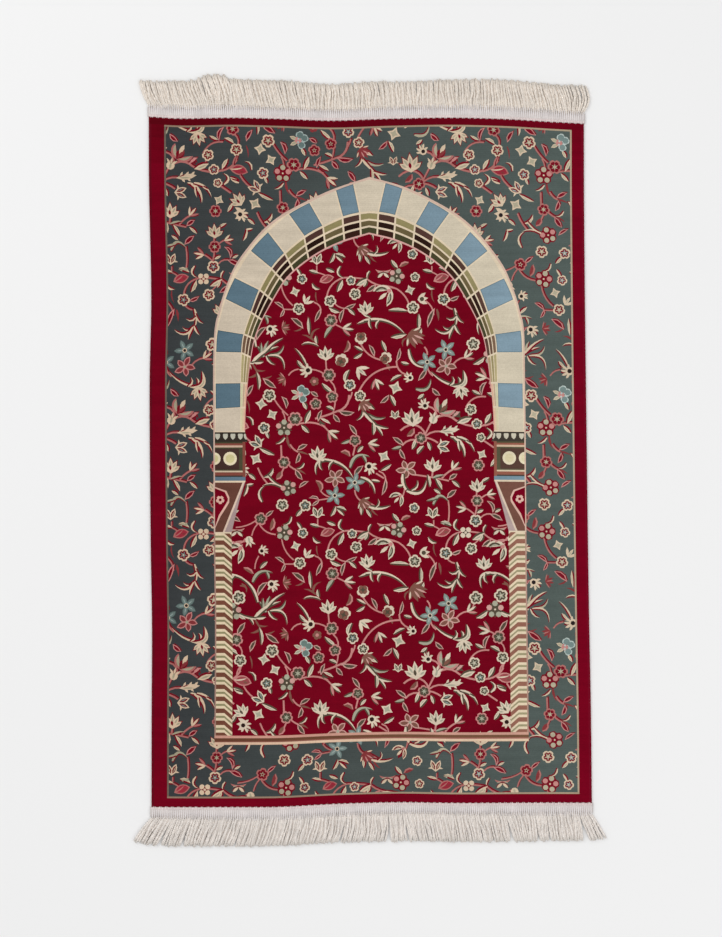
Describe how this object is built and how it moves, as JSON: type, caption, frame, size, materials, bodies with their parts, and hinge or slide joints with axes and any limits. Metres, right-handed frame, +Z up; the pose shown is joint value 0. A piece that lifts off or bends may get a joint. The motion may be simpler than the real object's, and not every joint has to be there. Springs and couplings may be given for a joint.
{
  "type": "prayer rug",
  "caption": "Flat woven prayer rug with a striped pointed-arch niche over a floral ground and a twisted cotton fringe along both ends, lying on a floor.",
  "frame": {"origin": "middle of the cloth's underside, on the surface that the rug lies on", "axes": "+Y to the head end, where the niche comes to its point; +X to the right of someone who faces the head end; +Z up, out of the patterned face"},
  "size_m": [0.7562, 1.2334, 0.0034],
  "materials": {
    "woven_pile": "matt jacquard-woven pile, crimson with a grey-green, blue, beige and cream design",
    "cotton_fringe": "matt twisted cotton yarn and cotton tape, cream and off-white"
  },
  "bodies": {
    "root": {"rug_cloth": "woven_pile", "fringe_head": "cotton_fringe", "fringe_foot": "cotton_fringe"}
  },
  "joints": []
}
